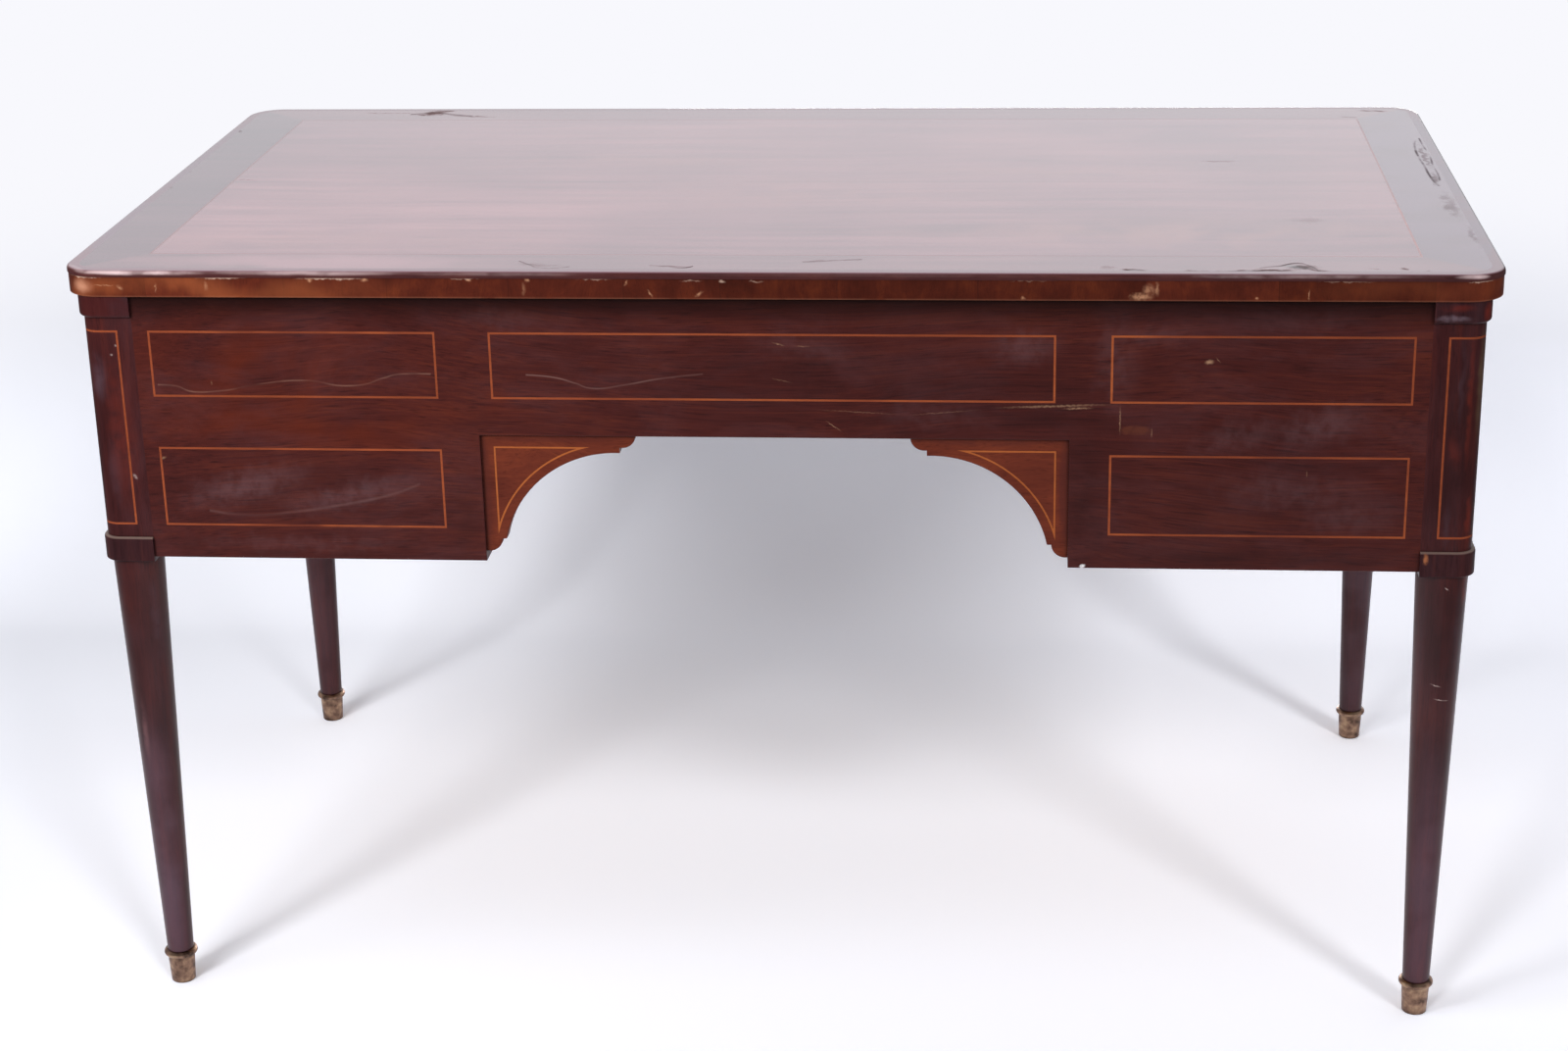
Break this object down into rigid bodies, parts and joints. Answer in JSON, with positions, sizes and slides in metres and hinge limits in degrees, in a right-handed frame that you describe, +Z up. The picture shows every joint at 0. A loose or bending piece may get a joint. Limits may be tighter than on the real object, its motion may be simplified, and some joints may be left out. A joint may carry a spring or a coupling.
{
  "type": "writing desk",
  "caption": "Pedestal writing desk with string-inlaid panels, sliding drawers, shaped kneehole brackets and round tapered legs in brass caps.",
  "frame": {"origin": "on the floor, under the middle of the top", "axes": "+X along the desk, to the right as seen from the inlaid back; +Y from the inlaid back towards the drawer side; +Z up"},
  "size_m": [1.328, 0.7275, 0.76],
  "materials": {
    "mahogany_solid": "french polished, aged",
    "mahogany_veneer": "french polished, aged",
    "mahogany_top": "highly french polished",
    "boxwood": "french polished, darkened",
    "oak": "waxed",
    "pine": "bare, aged",
    "brass": "aged and dulled",
    "steel": "plain"
  },
  "bodies": {
    "carcass": {"back_panel": "mahogany_veneer", "back_stringing": "boxwood", "bracket_left": "mahogany_solid", "bracket_right": "mahogany_solid", "bracket_stringing": "boxwood", "drawer_dividers": "mahogany_solid", "drawer_runners": "pine", "drawer_stops": "pine", "end_panel_left": "mahogany_veneer", "end_panel_right": "mahogany_veneer", "end_stringing": "boxwood", "front_top_rail": "mahogany_solid", "inner_side_left": "mahogany_veneer", "inner_side_right": "mahogany_veneer", "knee_rail": "mahogany_solid", "leg_back_left": "mahogany_solid", "leg_back_right": "mahogany_solid", "leg_cap_back_left": "brass", "leg_cap_back_right": "brass", "leg_cap_front_left": "brass", "leg_cap_front_right": "brass", "leg_front_left": "mahogany_solid", "leg_front_right": "mahogany_solid", "pedestal_floors": "pine", "post_cap_blocks": "mahogany_solid", "post_collars": "mahogany_solid", "post_stringing": "boxwood", "top_battens": "pine", "top_core": "pine", "top_crossbanding": "mahogany_top", "top_edge_band": "mahogany_veneer", "top_edge_lip": "mahogany_solid", "top_field_veneer": "mahogany_top", "top_screws": "steel", "top_stringing": "boxwood"},
    "drawer_centre": {"drawer_centre_front": "mahogany_veneer", "drawer_centre_box": "oak", "drawer_centre_bottom": "oak", "drawer_centre_stringing": "boxwood", "drawer_centre_knob": "brass"},
    "drawer_upper_left": {"drawer_upper_left_front": "mahogany_veneer", "drawer_upper_left_box": "oak", "drawer_upper_left_bottom": "oak", "drawer_upper_left_stringing": "boxwood", "drawer_upper_left_knob": "brass"},
    "drawer_upper_right": {"drawer_upper_right_front": "mahogany_veneer", "drawer_upper_right_box": "oak", "drawer_upper_right_bottom": "oak", "drawer_upper_right_stringing": "boxwood", "drawer_upper_right_knob": "brass"},
    "drawer_lower_left": {"drawer_lower_left_front": "mahogany_veneer", "drawer_lower_left_box": "oak", "drawer_lower_left_bottom": "oak", "drawer_lower_left_stringing": "boxwood", "drawer_lower_left_knob": "brass"},
    "drawer_lower_right": {"drawer_lower_right_front": "mahogany_veneer", "drawer_lower_right_box": "oak", "drawer_lower_right_bottom": "oak", "drawer_lower_right_stringing": "boxwood", "drawer_lower_right_knob": "brass"}
  },
  "joints": [
    {"name": "drawer_centre_slide", "type": "slide", "parent": "carcass", "child": "drawer_centre", "axis": [0, 1, 0], "range_m": [0, 0.42]},
    {"name": "drawer_upper_left_slide", "type": "slide", "parent": "carcass", "child": "drawer_upper_left", "axis": [0, 1, 0], "range_m": [0, 0.42]},
    {"name": "drawer_upper_right_slide", "type": "slide", "parent": "carcass", "child": "drawer_upper_right", "axis": [0, 1, 0], "range_m": [0, 0.42]},
    {"name": "drawer_lower_left_slide", "type": "slide", "parent": "carcass", "child": "drawer_lower_left", "axis": [0, 1, 0], "range_m": [0, 0.42]},
    {"name": "drawer_lower_right_slide", "type": "slide", "parent": "carcass", "child": "drawer_lower_right", "axis": [0, 1, 0], "range_m": [0, 0.42]}
  ]
}
